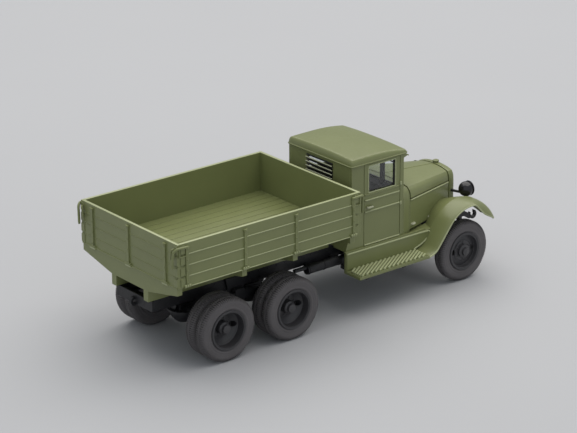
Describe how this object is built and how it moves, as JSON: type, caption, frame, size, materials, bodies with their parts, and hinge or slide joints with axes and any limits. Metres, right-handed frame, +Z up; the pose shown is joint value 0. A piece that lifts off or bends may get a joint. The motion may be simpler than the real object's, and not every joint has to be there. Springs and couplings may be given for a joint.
{
  "type": "scale model of a military cargo truck",
  "caption": "Display scale model of a six-wheeled army cargo truck with a closed cab, long bonnet, swept front wings and an open drop-side load bed; the wheel axles turn.",
  "frame": {"origin": "on the ground under the middle of the model's length and width", "axes": "+X forward along the truck, +Y to the driver's left, +Z up"},
  "size_m": [0.1424, 0.0532, 0.0528],
  "materials": {
    "body_green": "satin olive green paint",
    "chassis_black": "satin black moulded plastic",
    "interior_grey": "matt dark grey moulded plastic",
    "clear_plastic": "clear moulded plastic",
    "wheel_black": "satin black moulded plastic",
    "tyre_rubber": "matt black soft rubber",
    "axle_steel": "drawn steel wire"
  },
  "bodies": {
    "truck": {"bed_sills": "body_green", "bed_bearers": "body_green", "bed_floor": "body_green", "left_board": "body_green", "right_board": "body_green", "front_board": "body_green", "tailgate": "body_green", "corner_latches": "body_green", "cab_back": "body_green", "cab_quarters": "body_green", "left_door": "body_green", "right_door": "body_green", "cab_front_frame": "body_green", "cab_roof": "body_green", "sun_visor": "body_green", "window_grille": "body_green", "cowl": "body_green", "bonnet_top": "body_green", "bonnet_sides": "body_green", "radiator_shell": "body_green", "radiator_cap": "body_green", "left_wing": "body_green", "right_wing": "body_green", "wing_liners": "body_green", "left_apron": "body_green", "right_apron": "body_green", "running_boards": "body_green", "frame_rails": "chassis_black", "cross_members": "chassis_black", "front_axle": "chassis_black", "front_springs": "chassis_black", "mid_axle": "chassis_black", "rear_axle": "chassis_black", "bogie_springs": "chassis_black", "bogie_brackets": "chassis_black", "engine": "chassis_black", "drive_shafts": "chassis_black", "muffler": "chassis_black", "step_brackets": "chassis_black", "tow_hooks": "chassis_black", "rear_hitch": "chassis_black", "steering_wheel": "chassis_black", "radiator_core": "chassis_black", "headlamps": "chassis_black", "headlamp_arms": "chassis_black", "cab_floor": "interior_grey", "seat": "interior_grey", "dashboard": "interior_grey", "glazing": "clear_plastic", "headlamp_lenses": "clear_plastic"},
    "front_wheelset": {"front_pin": "axle_steel", "front_wheels": "wheel_black", "front_tyres": "tyre_rubber"},
    "mid_wheelset": {"mid_pin": "axle_steel", "mid_wheels": "wheel_black", "mid_tyres": "tyre_rubber"},
    "rear_wheelset": {"rear_pin": "axle_steel", "rear_wheels": "wheel_black", "rear_tyres": "tyre_rubber"}
  },
  "joints": [
    {"name": "front_axle_turn", "type": "hinge", "parent": "truck", "child": "front_wheelset", "pos_m": [0.0538, 0, 0.0107], "axis": [0, 1, 0], "continuous": true},
    {"name": "mid_axle_turn", "type": "hinge", "parent": "truck", "child": "mid_wheelset", "pos_m": [-0.0227, 0, 0.0107], "axis": [0, 1, 0], "continuous": true},
    {"name": "rear_axle_turn", "type": "hinge", "parent": "truck", "child": "rear_wheelset", "pos_m": [-0.0491, 0, 0.0107], "axis": [0, 1, 0], "continuous": true}
  ]
}
